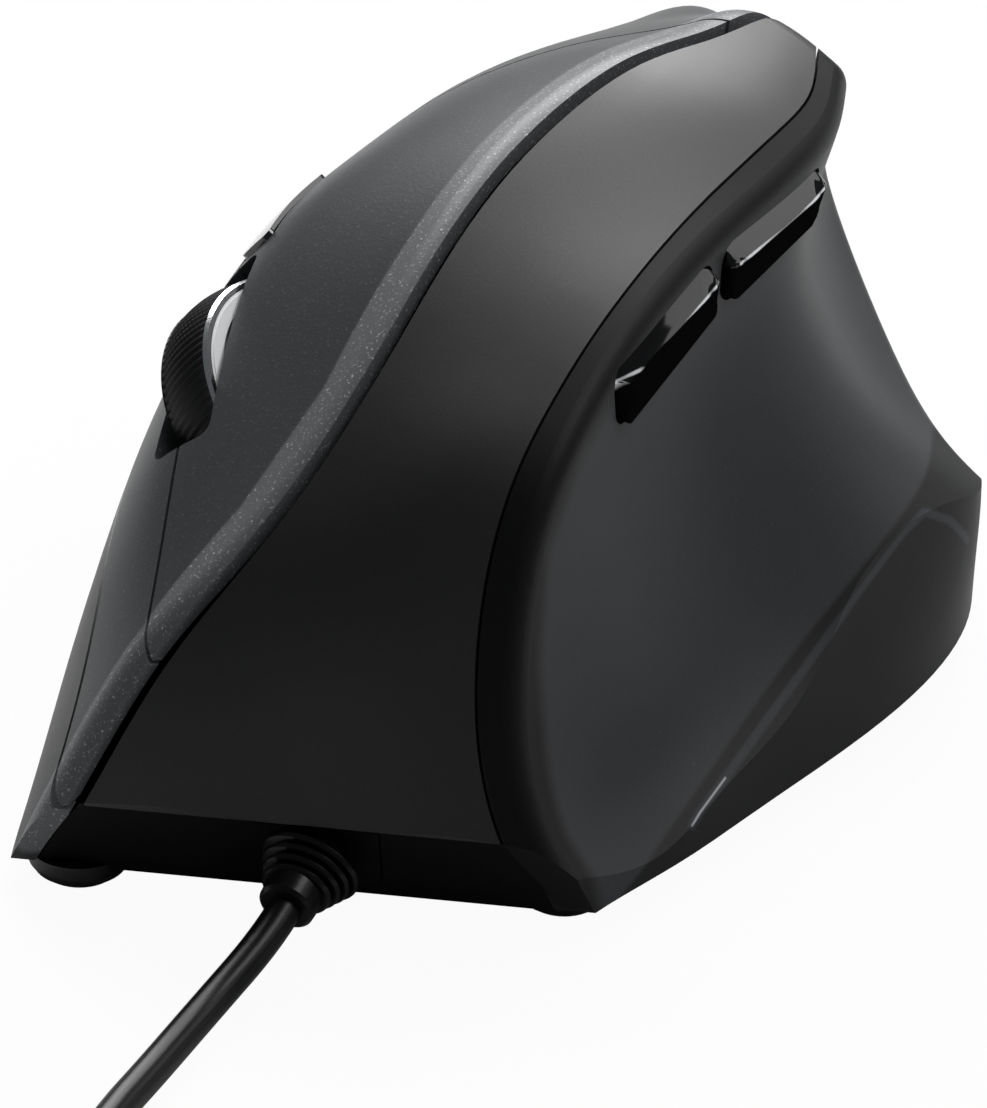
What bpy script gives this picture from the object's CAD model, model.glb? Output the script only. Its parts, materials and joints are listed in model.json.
# %% [markdown]
# An ergonomic wired mouse for the right hand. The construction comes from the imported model, which is loaded
# as a fixed frame. This file gives each piece its finish and models the pieces whose looks need more than
# the plain solids: the cable, its sleeve, the ribbed tyre and the two side keys.

# %% Load the frame
import bpy
import bmesh
import json
import math
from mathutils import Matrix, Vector
from mathutils.bvhtree import BVHTree


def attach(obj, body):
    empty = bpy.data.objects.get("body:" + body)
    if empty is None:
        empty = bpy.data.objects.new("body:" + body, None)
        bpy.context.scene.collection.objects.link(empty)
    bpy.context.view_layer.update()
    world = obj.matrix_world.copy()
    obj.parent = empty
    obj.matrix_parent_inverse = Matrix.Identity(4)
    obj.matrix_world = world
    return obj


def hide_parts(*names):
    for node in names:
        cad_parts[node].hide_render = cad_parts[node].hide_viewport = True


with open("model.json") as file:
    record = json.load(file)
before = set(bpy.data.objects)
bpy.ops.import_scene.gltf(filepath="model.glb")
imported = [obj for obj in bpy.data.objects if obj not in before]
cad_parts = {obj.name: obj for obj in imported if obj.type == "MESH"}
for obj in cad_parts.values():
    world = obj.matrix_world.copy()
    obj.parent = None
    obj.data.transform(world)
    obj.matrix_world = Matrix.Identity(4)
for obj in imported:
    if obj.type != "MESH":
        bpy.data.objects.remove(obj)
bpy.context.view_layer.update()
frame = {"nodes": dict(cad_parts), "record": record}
node = frame["nodes"]
mm = 0.001

# %% [markdown]
# The photograph is taken with a long lens from the front and a little to the thumb side, thirty degrees
# above the table. A camera with the same direction and distance sees the body in the same perspective.

# %% Camera
photo_width = 987
photo_height = 1108
azimuth = math.radians(12)
elevation = math.radians(30)
distance = 0.8
pixels_per_metre = 10600
sensor_width = 36
aim = Vector((-3.116, -7.619, 14.349)) * mm
back = Vector((
    math.sin(azimuth) * math.cos(elevation),
    -math.cos(azimuth) * math.cos(elevation),
    math.sin(elevation),
))
camera_data = bpy.data.cameras.new("camera")
camera_data.sensor_width = sensor_width
camera_data.lens = sensor_width * distance * pixels_per_metre / photo_height
camera_data.clip_start = 0.01
camera_data.clip_end = 20
camera = bpy.data.objects.new("camera", camera_data)
camera.location = aim + back * distance
camera.rotation_euler = back.to_track_quat("Z", "Y").to_euler()
bpy.context.scene.collection.objects.link(camera)
bpy.context.scene.camera = camera
bpy.context.scene.view_settings.view_transform = "Standard"
print("lens", round(camera_data.lens, 1), "mm, image", photo_width, "x", photo_height)

# %% [markdown]
# A real cable is one length of something flexible, so it is one open spline. Its first points are the
# route across the table; its last ones are the turns of the neat coil, laid beside and on each other
# a diameter apart, and the short tail that ends in the plug.

# %% Cable
cable_diameter = 3.2 * mm
cable_radius = cable_diameter / 2
coil_centre = Vector((0.7, -157.5, 0)) * mm
coil_radius = 18.5 * mm
turns_by_row = (4, 3, 4, 3)
points_per_turn = 24
change_of_turn_from = 0.8
plug_axis = Vector((24.0, -135.5, 4)) * mm
cable_route = [
    (-0.01163, -0.05798, 0.0049),
    (-0.0124, -0.06178, 0.00394),
    (-0.0159, -0.071, 0.0018),
    (-0.0183, -0.0817, 0.0016),
    (-0.0199, -0.0885, 0.0016),
    (-0.0222, -0.104, 0.0016),
    (-0.0226, -0.149, 0.0016),
]


def coil_places():
    """Radius and height of each turn, row on row, to and fro across the bundle."""
    places = []
    for row, count in enumerate(turns_by_row):
        height = cable_radius + row * cable_diameter * math.sin(math.radians(60))
        columns = [(i - (count - 1) / 2) * cable_diameter for i in range(count)]
        if row % 2 == 0:
            columns.reverse()
        places += [(coil_radius + c, height) for c in columns]
    return places


def coil_points():
    """Anticlockwise turns from the side where the cable comes in to the side of the plug."""
    places = coil_places()
    points = []
    for step in range(len(places) * points_per_turn - points_per_turn // 2):
        turn, share = divmod(step / points_per_turn, 1)
        r0, z0 = places[int(turn)]
        r1, z1 = places[min(int(turn) + 1, len(places) - 1)]
        blend = max(0.0, (share - change_of_turn_from) / (1 - change_of_turn_from))
        blend = blend * blend * (3 - 2 * blend)
        radius = (r0 + (r1 - r0) * blend) / math.cos(math.pi / points_per_turn)
        angle = math.pi + 2 * math.pi * step / points_per_turn
        x = coil_centre.x + radius * math.cos(angle)
        y = coil_centre.y + radius * math.sin(angle)
        points.append((x, y, z0 + (z1 - z0) * blend))
    return points


def open_spline(name, points, radius):
    curve = bpy.data.curves.new(name, "CURVE")
    curve.dimensions = "3D"
    spline = curve.splines.new("NURBS")
    spline.points.add(len(points) - 1)
    for point, place in zip(spline.points, points):
        point.co = (*place, 1)
    spline.order_u = 3
    spline.use_endpoint_u = True
    spline.resolution_u = 8
    curve.bevel_depth = radius
    curve.bevel_resolution = 5
    curve.use_fill_caps = True
    made = bpy.data.objects.new(name, curve)
    bpy.context.scene.collection.objects.link(made)
    return made


turns = coil_points()
tail = [
    (plug_axis.x - 1.6 * mm, coil_centre.y + 6 * mm, turns[-1][2]),
    (plug_axis.x - 0.8 * mm, coil_centre.y + 11 * mm, turns[-1][2] - 0.9 * mm),
    (plug_axis.x - 0.2 * mm, coil_centre.y + 16 * mm, plug_axis.z + 1.4 * mm),
    (plug_axis.x, plug_axis.y - 2 * mm, plug_axis.z),
    tuple(plug_axis),
]
cable = open_spline("cable_line", cable_route + turns + tail, cable_radius)
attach(cable, "base")
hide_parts("cable", "cable_coil", "cable_end")
print("coil turns", len(coil_places()), "control points", len(cable_route + turns + tail))

# %% [markdown]
# The photograph has a plain white ground. The floor could be lit until it is white, but then it would light
# the dark faces too. So it is only pale, and glows white for the camera alone, which keeps its shadow.

# %% Floor and background
floor_half_width = 0.5
floor_grey = 0.66
floor_glow = 0.95
sky_colour = (0.9, 0.95, 1, 1)
sky_strength = 0.10


def ground_material(name, grey, glow_share):
    """A pale surface that the camera sees nearly white."""
    material = bpy.data.materials.new(name)
    material.use_nodes = True
    nodes = material.node_tree.nodes
    link = material.node_tree.links.new
    nodes.clear()
    output = nodes.new("ShaderNodeOutputMaterial")
    mix = nodes.new("ShaderNodeMixShader")
    diffuse = nodes.new("ShaderNodeBsdfDiffuse")
    diffuse.inputs["Color"].default_value = (grey, grey, grey, 1)
    glow = nodes.new("ShaderNodeEmission")
    glow.inputs["Color"].default_value = (1, 1, 1, 1)
    path = nodes.new("ShaderNodeLightPath")
    share = nodes.new("ShaderNodeMath")
    share.operation = "MULTIPLY"
    share.inputs[1].default_value = glow_share
    link(path.outputs["Is Camera Ray"], share.inputs[0])
    link(share.outputs[0], mix.inputs["Fac"])
    link(diffuse.outputs[0], mix.inputs[1])
    link(glow.outputs[0], mix.inputs[2])
    link(mix.outputs[0], output.inputs["Surface"])
    return material


floor_mesh = bpy.data.meshes.new("floor")
shape = bmesh.new()
bmesh.ops.create_grid(shape, x_segments=2, y_segments=2, size=floor_half_width)
shape.to_mesh(floor_mesh)
shape.free()
floor = bpy.data.objects.new("floor", floor_mesh)
floor_mesh.materials.append(ground_material("pale_floor", floor_grey, floor_glow))
bpy.context.scene.collection.objects.link(floor)
print("floor", floor_half_width * 2, "m wide")

world = bpy.data.worlds.new("studio")
bpy.context.scene.world = world
world.use_nodes = True
world_nodes = world.node_tree.nodes
world_link = world.node_tree.links.new
sky = world_nodes["Background"]
sky.inputs["Color"].default_value = sky_colour
sky.inputs["Strength"].default_value = sky_strength
white = world_nodes.new("ShaderNodeBackground")
white.inputs["Color"].default_value = (1, 1, 1, 1)
world_mix = world_nodes.new("ShaderNodeMixShader")
world_path = world_nodes.new("ShaderNodeLightPath")
world_link(world_path.outputs["Is Camera Ray"], world_mix.inputs["Fac"])
world_link(sky.outputs[0], world_mix.inputs[1])
world_link(white.outputs[0], world_mix.inputs[2])
world_link(world_mix.outputs[0], world_nodes["World Output"].inputs["Surface"])

# %% [markdown]
# One large soft light hangs behind and above the mouse, so its upward faces shine and its front stays
# dark. The weaker ones open up the sides and give the keys something to reflect. They are area lamps,
# because a studio's light boxes leave soft-edged reflections and a point or a sun doesn't.

# %% Lamps
lamp_target = Vector((0, 0, 0.03))
# place in metres, width and height in metres, power in watts
lamps = {
    "top_box": ((-0.13, 0.66, 0.62), 0.8, 0.5, 13.0),
    "left_box": ((-0.75, 0.15, 0.35), 0.25, 0.6, 0.05),
    "over_box": ((0.52, 0.10, 0.78), 0.4, 0.3, 2.6),
    "right_box": ((0.66, 0.40, 0.44), 0.5, 0.3, 0.8),
    "low_strip": ((0.62, 0.55, 0.10), 0.9, 0.03, 0.25),
}
for name, (place, width, height, power) in lamps.items():
    lamp_data = bpy.data.lights.new(name, "AREA")
    lamp_data.shape = "RECTANGLE"
    lamp_data.size = width
    lamp_data.size_y = height
    lamp_data.energy = power
    lamp = bpy.data.objects.new(name, lamp_data)
    lamp.location = place
    lamp.rotation_euler = (Vector(place) - lamp_target).to_track_quat("Z", "Y").to_euler()
    bpy.context.scene.collection.objects.link(lamp)
print("lamps", list(lamps))

# %% [markdown]
# Moulded plastic has a fine grain from the tool it was pressed in. It could be an image, but noise in object
# coordinates needs no unwrapping and keeps its scale on every piece. One node group makes it, and each
# finish takes it at its own scale and depth. Other groups give masks near a line or beyond a plane, for
# the places where one moulding changes its tone or its coat.

# %% Shared effects
def new_group(name, inputs, outputs):
    tree = bpy.data.node_groups.new(name, "ShaderNodeTree")
    for label, kind, value in inputs:
        socket = tree.interface.new_socket(label, in_out="INPUT", socket_type=kind)
        socket.default_value = value
    for label, kind in outputs:
        tree.interface.new_socket(label, in_out="OUTPUT", socket_type=kind)
    return tree, tree.nodes.new("NodeGroupInput"), tree.nodes.new("NodeGroupOutput")


def moulded_grain():
    """Fine grain: a height for bump, a mask of tiny bright flecks and a broad cloud for the gloss."""
    tree, given, put = new_group(
        "moulded_grain",
        [("Scale", "NodeSocketFloat", 3000.0), ("Flecks", "NodeSocketFloat", 0.62)],
        [("Height", "NodeSocketFloat"), ("Fleck", "NodeSocketFloat"), ("Cloud", "NodeSocketFloat")],
    )
    place = tree.nodes.new("ShaderNodeTexCoord")
    grain = tree.nodes.new("ShaderNodeTexNoise")
    grain.inputs["Detail"].default_value = 2
    grain.inputs["Roughness"].default_value = 0.6
    cloud = tree.nodes.new("ShaderNodeTexNoise")
    cloud.inputs["Scale"].default_value = 60
    cloud.inputs["Detail"].default_value = 3
    cut = tree.nodes.new("ShaderNodeMapRange")
    cut.inputs["To Min"].default_value = 0
    cut.inputs["To Max"].default_value = 1
    cut.inputs["From Max"].default_value = 0.85
    link = tree.links.new
    link(place.outputs["Object"], grain.inputs["Vector"])
    link(place.outputs["Object"], cloud.inputs["Vector"])
    link(given.outputs["Scale"], grain.inputs["Scale"])
    link(given.outputs["Flecks"], cut.inputs["From Min"])
    link(grain.outputs["Fac"], cut.inputs["Value"])
    link(grain.outputs["Fac"], put.inputs["Height"])
    link(cut.outputs["Result"], put.inputs["Fleck"])
    link(cloud.outputs["Fac"], put.inputs["Cloud"])
    return tree


def vector_math(tree, operation, first, second):
    made = tree.nodes.new("ShaderNodeVectorMath")
    made.operation = operation
    for socket, value in zip(made.inputs, (first, second)):
        if hasattr(value, "links"):
            tree.links.new(value, socket)
        else:
            socket.default_value = value
    return made


def smooth_step(tree, value, low, high, rising):
    """A smooth change between zero and one where the value passes from low to high."""
    made = tree.nodes.new("ShaderNodeMapRange")
    made.interpolation_type = "SMOOTHSTEP"
    made.inputs["From Min"].default_value = low
    made.inputs["From Max"].default_value = high
    made.inputs["To Min"].default_value = 0 if rising else 1
    made.inputs["To Max"].default_value = 1 if rising else 0
    tree.links.new(value, made.inputs["Value"])
    return made.outputs["Result"]


def near_line(name, points, width, soft):
    """A mask that is one within a width of a line through points, in object coordinates and millimetres."""
    tree, _, put = new_group(name, [], [("Mask", "NodeSocketFloat")])
    link = tree.links.new
    place = tree.nodes.new("ShaderNodeTexCoord").outputs["Object"]
    nearest = None
    for start, end in zip(points, points[1:]):
        start = Vector(start) * mm
        run = Vector(end) * mm - start
        from_start = vector_math(tree, "SUBTRACT", place, start).outputs["Vector"]
        along = vector_math(tree, "DOT_PRODUCT", from_start, run / run.length_squared).outputs["Value"]
        share = tree.nodes.new("ShaderNodeClamp")
        link(along, share.inputs["Value"])
        foot = tree.nodes.new("ShaderNodeVectorMath")
        foot.operation = "SCALE"
        foot.inputs[0].default_value = run
        link(share.outputs["Result"], foot.inputs["Scale"])
        away = vector_math(tree, "DISTANCE", from_start, foot.outputs["Vector"]).outputs["Value"]
        if nearest is None:
            nearest = away
            continue
        lower = tree.nodes.new("ShaderNodeMath")
        lower.operation = "MINIMUM"
        link(nearest, lower.inputs[0])
        link(away, lower.inputs[1])
        nearest = lower.outputs[0]
    link(smooth_step(tree, nearest, (width - soft) * mm, (width + soft) * mm, False), put.inputs["Mask"])
    return tree


def beyond_plane(name, point, direction, soft):
    """A mask that is one beyond a plane, in object coordinates and millimetres."""
    tree, _, put = new_group(name, [], [("Mask", "NodeSocketFloat")])
    place = tree.nodes.new("ShaderNodeTexCoord").outputs["Object"]
    offset = vector_math(tree, "SUBTRACT", place, Vector(point) * mm).outputs["Vector"]
    along = vector_math(tree, "DOT_PRODUCT", offset, direction).outputs["Value"]
    tree.links.new(smooth_step(tree, along, -soft * mm, soft * mm, True), put.inputs["Mask"])
    return tree


grain_group = moulded_grain()
print("effect", grain_group.name, "with", len(grain_group.nodes), "nodes")

# %% [markdown]
# Every finish is the same kind of moulded surface with its own colour, flecks, gloss and grain, so one
# function makes them all and a table keeps their values. Shine is the specular level: the front faces
# have little, because at a low angle they would mirror the pale floor.

# %% Finishes
bump_strength = 0.6
coat_roughness = 0.05


def moulded(
    name, colour, fleck_colour, roughness, grain_scale, grain_depth,
    flecks=0.62, coat=0.0, roughness_spread=0.06, shine=0.5, metallic=0.0,
):
    """A moulded surface with grain, flecks and a slightly uneven gloss. The depth is in millimetres."""
    material = bpy.data.materials.new(name)
    material.use_nodes = True
    nodes = material.node_tree.nodes
    link = material.node_tree.links.new
    surface = nodes["Principled BSDF"]
    grain = nodes.new("ShaderNodeGroup")
    grain.node_tree = grain_group
    grain.inputs["Scale"].default_value = grain_scale
    grain.inputs["Flecks"].default_value = flecks
    tint = nodes.new("ShaderNodeMix")
    tint.data_type = "RGBA"
    tint.inputs["A"].default_value = (*colour, 1)
    tint.inputs["B"].default_value = (*fleck_colour, 1)
    gloss = nodes.new("ShaderNodeMapRange")
    gloss.inputs["To Min"].default_value = roughness - roughness_spread
    gloss.inputs["To Max"].default_value = roughness + roughness_spread
    bump = nodes.new("ShaderNodeBump")
    bump.inputs["Distance"].default_value = grain_depth * mm
    bump.inputs["Strength"].default_value = bump_strength
    link(grain.outputs["Fleck"], tint.inputs["Factor"])
    link(tint.outputs["Result"], surface.inputs["Base Color"])
    link(grain.outputs["Cloud"], gloss.inputs["Value"])
    link(gloss.outputs["Result"], surface.inputs["Roughness"])
    link(grain.outputs["Height"], bump.inputs["Height"])
    link(bump.outputs["Normal"], surface.inputs["Normal"])
    surface.inputs["Specular IOR Level"].default_value = shine
    surface.inputs["Metallic"].default_value = metallic
    surface.inputs["Coat Weight"].default_value = coat
    surface.inputs["Coat Roughness"].default_value = coat_roughness
    return material


def tint_near(material, tree, colour, fleck_colour=None):
    """Another colour where the mask of the group is one, over what the material already has."""
    nodes = material.node_tree.nodes
    link = material.node_tree.links.new
    surface = nodes["Principled BSDF"]
    before = surface.inputs["Base Color"].links[0].from_socket
    mask = nodes.new("ShaderNodeGroup")
    mask.node_tree = tree
    over = nodes.new("ShaderNodeMix")
    over.data_type = "RGBA"
    over.inputs["B"].default_value = (*colour, 1)
    if fleck_colour:
        spark = nodes.new("ShaderNodeMix")
        spark.data_type = "RGBA"
        spark.inputs["A"].default_value = (*colour, 1)
        spark.inputs["B"].default_value = (*fleck_colour, 1)
        grain = next(n for n in nodes if n.type == "GROUP" and n.node_tree == grain_group)
        link(grain.outputs["Fleck"], spark.inputs["Factor"])
        link(spark.outputs["Result"], over.inputs["B"])
    link(mask.outputs["Mask"], over.inputs["Factor"])
    link(before, over.inputs["A"])
    link(over.outputs["Result"], surface.inputs["Base Color"])


def coat_on(material, tree):
    """A clear coat where the mask of the group is one."""
    nodes = material.node_tree.nodes
    mask = nodes.new("ShaderNodeGroup")
    mask.node_tree = tree
    material.node_tree.links.new(mask.outputs["Mask"], nodes["Principled BSDF"].inputs["Coat Weight"])


def paint(piece, material):
    piece.data.materials.clear()
    piece.data.materials.append(material)


key_black = (0.0035, 0.0035, 0.0038)
key_fleck = (0.005, 0.005, 0.005)
trim_silver = (0.75, 0.76, 0.78)
steel_grey = (0.55, 0.56, 0.58)
lens_grey = (0.5, 0.52, 0.55)
# colour, colour of the flecks, roughness, scale of the grain, its depth in millimetres, and what differs
finishes = {
    "button_plastic": (
        (0.032, 0.034, 0.037), (0.15, 0.156, 0.162), 0.42, 3600, 0.03, {"flecks": 0.60, "shine": 0.4}
    ),
    "palm_plastic": (
        (0.012, 0.0128, 0.0144), (0.08, 0.083, 0.088), 0.42, 3600, 0.03, {"flecks": 0.61, "shine": 0.45}
    ),
    "soft_touch": (
        (0.0075, 0.0070, 0.0068), (0.022, 0.020, 0.0195), 0.44, 4500, 0.012, {"flecks": 0.55, "shine": 0.7}
    ),
    "thumb_plastic": ((0.034, 0.0352, 0.0375), (0.06, 0.062, 0.065), 0.5, 3600, 0.015, {"shine": 0.2}),
    "base_plastic": ((0.0022, 0.0022, 0.0024), (0.004, 0.004, 0.004), 0.5, 2500, 0.01, {"shine": 0.12}),
    "gloss_key": (key_black, key_fleck, 0.15, 2500, 0.001, {"roughness_spread": 0.02, "shine": 0.0}),
    "foot_pad": ((0.006, 0.006, 0.0065), (0.012, 0.012, 0.012), 0.35, 2000, 0.01, {}),
    "wheel_rubber": ((0.004, 0.004, 0.0042), (0.008, 0.008, 0.008), 0.5, 2500, 0.01, {"shine": 0.35}),
    "wheel_core": ((0.86, 0.87, 0.88), (0.9, 0.9, 0.9), 0.3, 2500, 0.004, {}),
    "silver_trim": (trim_silver, trim_silver, 0.16, 1500, 0.004, {"metallic": 1}),
    "steel": (steel_grey, steel_grey, 0.3, 1500, 0.004, {"metallic": 1}),
    "frame_plastic": ((0.03, 0.03, 0.033), (0.05, 0.05, 0.05), 0.5, 1800, 0.02, {}),
    "circuit_board": ((0.01, 0.09, 0.035), (0.02, 0.13, 0.05), 0.35, 900, 0.01, {}),
    "switch_plastic": ((0.02, 0.02, 0.022), (0.03, 0.03, 0.03), 0.4, 2000, 0.01, {}),
    "chip_plastic": ((0.01, 0.01, 0.01), (0.02, 0.02, 0.02), 0.55, 2600, 0.01, {}),
    "clear_lens": (lens_grey, lens_grey, 0.1, 1500, 0.001, {"roughness_spread": 0.03}),
    "white_plastic": ((0.6, 0.6, 0.57), (0.66, 0.66, 0.63), 0.4, 1500, 0.01, {}),
    "cable_rubber": ((0.004, 0.004, 0.0042), (0.008, 0.008, 0.008), 0.32, 2500, 0.01, {"shine": 0.22}),
    "plug_plastic": ((0.008, 0.008, 0.0085), (0.015, 0.015, 0.015), 0.42, 2200, 0.02, {}),
}
finish_of_slot = {slot: moulded(slot, *values, **others) for slot, (*values, others) in finishes.items()}
bright_key_finish = moulded("bright_key", key_black, key_fleck, 0.15, 2500, 0.001, coat=1.0)
for part in frame["record"]["subparts"]:
    paint(node[part["node"]], finish_of_slot[part["material_slot"]])
paint(cable, finish_of_slot["cable_rubber"])
paint(node["resolution_button"], bright_key_finish)
print("finishes", len(finish_of_slot))

# %% [markdown]
# The plates carry a bright sparkling band along the ridge, the rim round the thumb hollow is darker, and
# so is the flange below the hollow, with a fine channel along its upper edge. They could be separate pieces,
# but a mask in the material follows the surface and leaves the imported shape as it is.

# %% Bands and channel
ridge_line = [
    (-42.2, -58.0, -4.4),
    (-33.8, -52.9, 10.4),
    (-26.2, -47.8, 25.6),
    (-17.9, -40.0, 34.5),
    (-11.9, -30.8, 43.6),
    (-6.8, -16.8, 52.4),
    (-2.6, -5.7, 56.7),
    (3.1, 5.8, 59.1),
    (9.1, 16.2, 58.9),
    (14.8, 25.0, 57.1),
    (21.0, 31.0, 53.8),
]
rim_line = [
    (16.5, -54.0, 0),
    (10.5, -51.5, 10),
    (5.8, -46, 25),
    (5.7, -41, 36),
    (7.1, -33, 42.5),
    (10.5, -22, 47.8),
    (14.5, -9, 50.9),
    (19.0, 2.5, 52.2),
    (22.8, 13, 52.6),
    (23.7, 25, 52.5),
]
flange_channel = [
    (21.7, -36.9, 5.2),
    (22.1, -35.3, 5.7),
    (23.6, -30.8, 6.9),
    (25.6, -24.4, 8.5),
    (28.1, -17.5, 10.7),
    (30.7, -11.3, 13.4),
    (33.4, -5.0, 16.1),
    (35.1, -1.5, 17.9),
    (36.5, 1.2, 18.7),
    (38.5, 4.1, 16.4),
    (39.8, 7.1, 12.7),
]
ridge_mask = near_line("ridge_band", ridge_line, 3.1, 0.25)
for slot in ("button_plastic", "palm_plastic"):
    tint_near(finish_of_slot[slot], ridge_mask, (0.12, 0.125, 0.131), (0.85, 0.86, 0.87))
thumb_tones = [
    (near_line("rim_band", rim_line, 4.2, 1.2), (0.0022, 0.0023, 0.0026)),
    (beyond_plane("flange", (21.07, -34.85, 6.62), (0.701, -0.016, -0.713), 0.35), (0.0075, 0.0078, 0.0084)),
    (near_line("flange_channel", flange_channel, 0.42, 0.22), (0.032, 0.034, 0.038)),
    (near_line("channel_end", flange_channel[:3], 0.10, 0.07), (0.42, 0.43, 0.45)),
]
for mask, colour in thumb_tones:
    tint_near(finish_of_slot["thumb_plastic"], mask, colour)
print("ridge band of", len(ridge_line), "points,", len(thumb_tones), "tones on the thumb side")

# %% [markdown]
# The pieces below need more than their plain solids. Their places are taken from the frame: the wheel from
# the joint that it spins on, the keys from the outer side of their solids, and the sleeve from the cable.

# %% Mesh helpers
def joint_named(name):
    return next(j for j in frame["record"]["behaviour"]["joints"] if j["name"] == name)


def axes_along(direction, hint):
    """Three unit vectors: two across the direction and the direction itself."""
    along = Vector(direction).normalized()
    side = Vector(hint).cross(along).normalized()
    return side, along.cross(side), along


def piece_from(name, shape, sharp_angle=math.radians(40)):
    """A mesh object from a bmesh, smooth except at its sharp edges."""
    bmesh.ops.remove_doubles(shape, verts=shape.verts, dist=1e-6)
    bmesh.ops.recalc_face_normals(shape, faces=shape.faces)
    for face in shape.faces:
        face.smooth = True
    for edge in shape.edges:
        if len(edge.link_faces) == 2 and edge.calc_face_angle(0) > sharp_angle:
            edge.smooth = False
    mesh = bpy.data.meshes.new(name)
    shape.to_mesh(mesh)
    shape.free()
    made = bpy.data.objects.new(name, mesh)
    bpy.context.scene.collection.objects.link(made)
    return made


def sweep_rings(shape, rings, closed_ends=True):
    """Faces between rings of equally many points."""
    loops = [[shape.verts.new(p) for p in ring] for ring in rings]
    for low, high in zip(loops, loops[1:]):
        for i in range(len(low)):
            j = (i + 1) % len(low)
            shape.faces.new((low[i], low[j], high[j], high[i]))
    if closed_ends:
        shape.faces.new(loops[0])
        shape.faces.new(loops[-1])


def soften(piece, width, segments, angle):
    """A narrow bevel on the edges that are sharper than an angle."""
    bevel = piece.modifiers.new("soft_edges", "BEVEL")
    bevel.width = width
    bevel.segments = segments
    bevel.limit_method = "ANGLE"
    bevel.angle_limit = math.radians(angle)


# %% [markdown]
# Each side key has a sloping upper side, a sharp crest and an outer side that falls a little inward. It
# could be a bevelled box, but the real one follows the curve of the rim. So rings of points are drawn in
# towards its middle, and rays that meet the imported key's outer side give each point its height.

# %% Side keys
key_half_height = 2.8 * mm
key_half_length = 9.3 * mm
key_corner = 1.6 * mm
key_corner_steps = 10
key_foot = -4.7 * mm
key_sharp_angle = 28
key_edge_width = 0.16 * mm
key_edge_steps = 3
slope_height = 1.55 * mm
slope_depth = 1.75 * mm
crest_height = key_half_height - slope_height
face_fall = 0.10
end_round = 0.5 * mm
height_margin = 0.2 * mm
length_margin = 0.9 * mm
height_without_hit = 1.3 * mm
ray_start = 20 * mm
face_shares = (1.0, 0.985, 0.9, 0.7, 0.45, 0.2)
border_share = 0.9
draw_in_rate = 1.2
coat_overlap = 0.15 * mm
coat_softness = 0.12
edge_stops = (-8.3, -5.5, -2.8, 0, 2.8, 5.5, 8.3)
edge_line_width = 0.16
edge_line_softness = 0.08
edge_colour = (0.85, 0.86, 0.88)
# centre in millimetres, direction outward, direction along the key
key_stands = {
    "front_side_button": ((14.534, -16.323, 43.571), (0.95632, -0.26275, -0.12814), (5.6, 18.0, 3.6)),
    "rear_side_button": ((21.299, 3.193, 45.512), (0.94645, -0.31635, -0.06442), (5.8, 18.3, 0.4)),
}


def key_outline(half_high, half_long, corner, steps):
    """Points round a rectangle with rounded corners."""
    points = []
    for across, along, turn in ((1, 1, 0), (-1, 1, 1), (-1, -1, 2), (1, -1, 3)):
        for k in range(steps + 1):
            angle = (turn + k / steps) * math.pi / 2
            points.append((
                across * (half_high - corner) + corner * math.cos(angle),
                along * (half_long - corner) + corner * math.sin(angle),
            ))
    return points


def side_key(name, origin, out, along):
    out = Vector(out).normalized()
    up = out.cross(Vector(along)).normalized()
    length_way = up.cross(out)
    origin = Vector(origin) * mm
    packed = node[name].data
    tree = BVHTree.FromPolygons([v.co for v in packed.vertices], [p.vertices for p in packed.polygons])

    def place_at(high, far, height):
        return origin + up * high + length_way * far + out * height

    def outer_height(high, far):
        """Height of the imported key's outer side, taken inside its edge."""
        highest = key_half_height - height_margin
        farthest = key_half_length - length_margin
        high = max(-highest, min(highest, high))
        far = max(-farthest, min(farthest, far))
        place, _, _, _ = tree.ray_cast(place_at(high, far, ray_start), -out)
        return (place - origin).dot(out) if place else height_without_hit

    def face_height(high, far):
        over = high - crest_height
        height = outer_height(min(high, crest_height), far) + face_fall * min(over, 0)
        if over > 0:
            height -= slope_depth * over / slope_height
        return height - max(end_round - (key_half_length - abs(far)), 0)

    def drawn_in(far, share):
        """Place along the key of a ring that is drawn in by a share of the key's height."""
        if share > border_share:
            return far * share
        return math.copysign(max(abs(far) - (1 - share) * key_half_height * draw_in_rate, 0), far)

    outline = key_outline(key_half_height, key_half_length, key_corner, key_corner_steps)
    rings = [[place_at(high, far, key_foot) for high, far in outline]]
    for share in face_shares:
        ring = []
        for high, far in outline:
            high_in, far_in = high * share, drawn_in(far, share)
            ring.append(place_at(high_in, far_in, face_height(high_in, far_in)))
        rings.append(ring)
    shape = bmesh.new()
    sweep_rings(shape, rings)
    made = piece_from("moulded_" + name, shape, math.radians(key_sharp_angle))
    soften(made, key_edge_width, key_edge_steps, key_sharp_angle)
    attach(made, name.replace("_button", "_key"))
    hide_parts(name)

    finish = finish_of_slot["gloss_key"].copy()
    finish.name = "polish_" + name.split("_")[0]
    coat_from = place_at(crest_height - coat_overlap, 0, outer_height(0, 0)) / mm
    coat_on(finish, beyond_plane(made.name + "_slope", coat_from, up, coat_softness))
    edge = [place_at(crest_height, s * mm, outer_height(crest_height, s * mm)) / mm for s in edge_stops]
    edge_mask = near_line(made.name + "_edge", edge, edge_line_width, edge_line_softness)
    tint_near(finish, edge_mask, edge_colour)
    paint(made, finish)
    return made


for name, (origin, out, along) in key_stands.items():
    made = side_key(name, origin, out, along)
    print(made.name, len(made.data.polygons))

# %% [markdown]
# The tyre carries fine ribs that cross it at a slant. It could be a spun ring with bump, but the ribs are a
# visible shape, so they are in the mesh: one band of points whose radius follows the crowned profile,
# lowered a little between the ribs.

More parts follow.
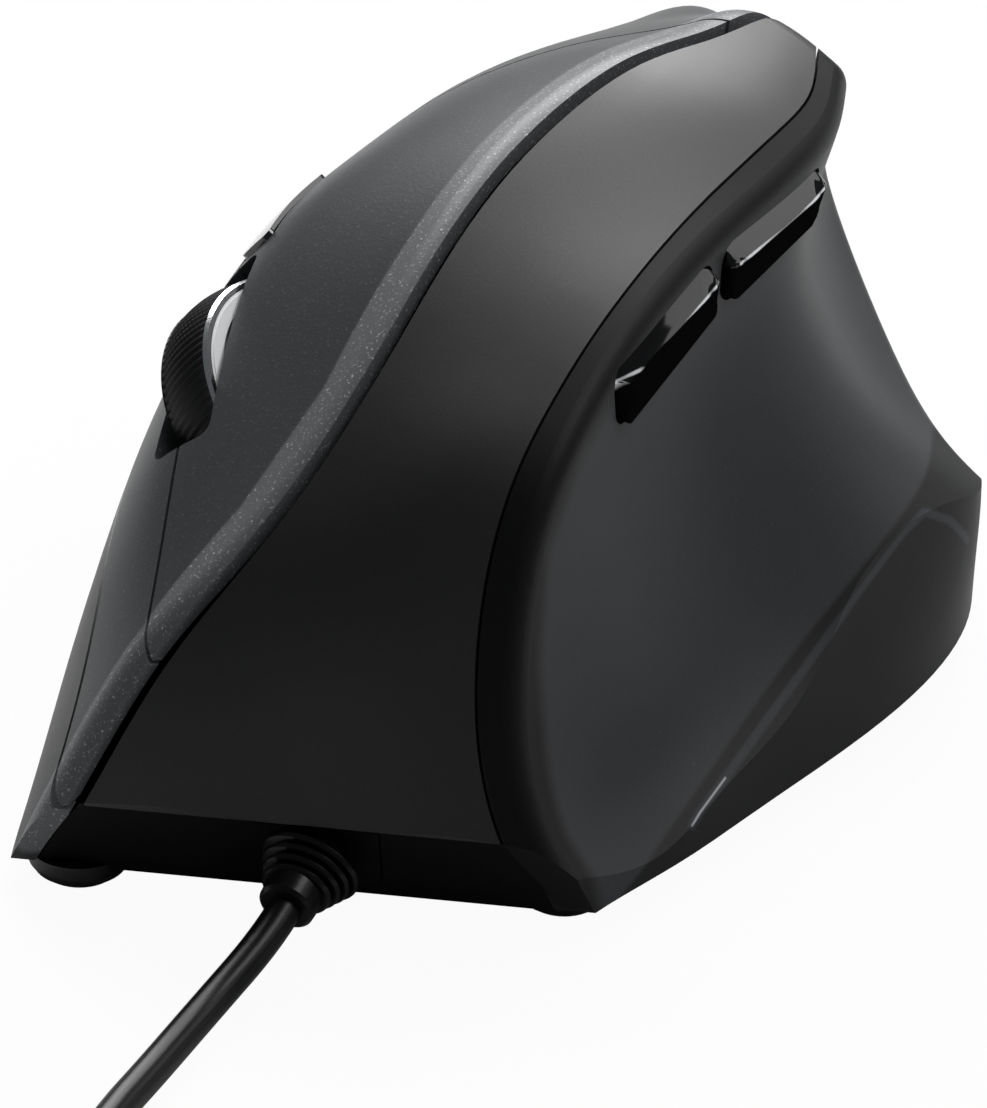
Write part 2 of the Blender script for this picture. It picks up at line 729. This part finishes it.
# %% Ribbed tyre
spin = joint_named("wheel_spin")
wheel_centre = Vector(spin["pos_m"])
wheel_side, wheel_up, wheel_axis = axes_along(spin["axis"], (0, 0, 1))
wheel_radius = 12.0 * mm
tread_half = 3.0 * mm
tyre_inner = 10.4 * mm
crown_drop = 0.45 * mm
rib_count = 88
rib_height = 0.22 * mm
rib_slant = 0.09
rib_steepness = 1.3
rib_flat = 0.6
edge_fade_rate = 6
steps_per_rib = 6
steps_round = rib_count * steps_per_rib
across_steps = 14
tyre_sharp_angle = 50


def wheel_point(angle, share, radius):
    outward = wheel_side * math.cos(angle) + wheel_up * math.sin(angle)
    return wheel_centre + wheel_axis * (tread_half * share) + outward * radius


def tread_radius(angle, share):
    wave = math.cos(rib_count * (angle + rib_slant * share)) * rib_steepness
    rise = (max(-rib_flat, min(rib_flat, wave)) / rib_flat - 1) / 2
    edge_fade = min(1.0, (1 - abs(share)) * edge_fade_rate)
    return wheel_radius - crown_drop * share * share + rib_height * edge_fade * rise


def tyre():
    angles = [2 * math.pi * i / steps_round for i in range(steps_round)]
    bands = []
    for k in range(across_steps + 1):
        share = 2 * k / across_steps - 1
        bands.append([wheel_point(a, share, tread_radius(a, share)) for a in angles])
    inner = [[wheel_point(a, share, tyre_inner) for a in angles] for share in (1, -1)]
    shape = bmesh.new()
    sweep_rings(shape, bands + inner + bands[:1], closed_ends=False)
    return piece_from("ribbed_tyre", shape, math.radians(tyre_sharp_angle))


ribbed_tyre = tyre()
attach(ribbed_tyre, "wheel")
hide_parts("wheel_tyre")
paint(ribbed_tyre, finish_of_slot["wheel_rubber"])
print("tyre faces", len(ribbed_tyre.data.polygons))

# %% [markdown]
# The sleeve is one moulding: a neck in the front wall, four rings that narrow and lean with the cable, and
# a smooth collar that the cable comes out of. It could be spun, but its rings are wider than they are tall
# and each leans a little less than the last, so it is swept through rings of its own.

# %% Sleeve of the cable
sleeve_root = Vector((-10.35, -51.7, 6.5)) * mm
sleeve_tip = Vector(cable_route[0])
sleeve_side, sleeve_up, sleeve_along = axes_along(sleeve_tip - sleeve_root, (0, 0, 1))
sleeve_length = (sleeve_tip - sleeve_root).length
sections = 48
ring_count = 4
first_ring = 0.75 * mm
tip_space = 2.6 * mm
thickness_share = 0.6
pitch = (sleeve_length - tip_space) / ring_count
ring_thickness = pitch * thickness_share
last_ring_end = first_ring + (ring_count - 1) * pitch + ring_thickness
ring_half_width = 5.0
ring_half_height = 3.9
width_narrowing = 1.6
height_narrowing = 0.9
first_ring_lean = 0.10
ring_soft = 0.18 * mm
ring_draft = 0.06 * mm
neck_start = -1.2 * mm
neck_radius = 2.5 * mm
groove_radius = 2.6 * mm
collar_radius = 2.75 * mm
collar_draft = 0.1 * mm
tip_round = 0.35 * mm


def sleeve_ring(offset, half_width, half_height, lean=0.0):
    points = []
    for i in range(sections):
        angle = 2 * math.pi * i / sections
        u = math.cos(angle) * half_width
        v = math.sin(angle) * half_height
        points.append(sleeve_root + sleeve_along * (offset + lean * u) + sleeve_side * u + sleeve_up * v)
    return points


def round_ring(offset, radius):
    return sleeve_ring(offset, radius, radius)


def sleeve():
    rings = [round_ring(neck_start, neck_radius), round_ring(first_ring, neck_radius)]
    for i in range(ring_count):
        share = i / (ring_count - 1)
        wide = (ring_half_width - width_narrowing * share) * mm
        tall = (ring_half_height - height_narrowing * share) * mm
        lean = first_ring_lean * (1 - share)
        start = first_ring + i * pitch
        end = start + ring_thickness
        far_wide, far_tall = wide - ring_draft, tall - ring_draft
        rings.append(sleeve_ring(start, wide - ring_soft, tall - ring_soft, lean))
        rings.append(sleeve_ring(start + ring_soft, wide, tall, lean))
        rings.append(sleeve_ring(end - ring_soft, far_wide, far_tall, lean))
        rings.append(sleeve_ring(end, far_wide - ring_soft, far_tall - ring_soft, lean))
        if i < ring_count - 1:
            rings.append(round_ring(end, groove_radius))
            rings.append(round_ring(start + pitch, groove_radius))
    rings.append(round_ring(last_ring_end, collar_radius))
    rings.append(round_ring(sleeve_length - tip_round, collar_radius - collar_draft))
    rings.append(round_ring(sleeve_length, collar_radius - collar_draft - tip_round))
    rings.append(round_ring(sleeve_length, cable_radius))
    shape = bmesh.new()
    sweep_rings(shape, rings)
    return piece_from("cable_sleeve", shape)


cable_sleeve = sleeve()
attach(cable_sleeve, "base")
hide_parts("strain_relief")
paint(cable_sleeve, finish_of_slot["cable_rubber"])
print("sleeve length", round(sleeve_length / mm, 2), "mm")

# %% [markdown]
# Moulded parts have softened edges that catch the light. They could be cut into each solid, but a Bevel
# modifier finds them by their angle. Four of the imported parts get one; it changes no part's place or size.

# %% Softened edges
softened_above = 40
softening_steps = 4
edge_softness = {
    "resolution_button": 0.3,
    "feet": 0.5,
    "plug_housing": 0.3,
    "coil_tie": 0.2,
}
for name, width in edge_softness.items():
    soften(node[name], width * mm, softening_steps, softened_above)
print("softened", list(edge_softness))
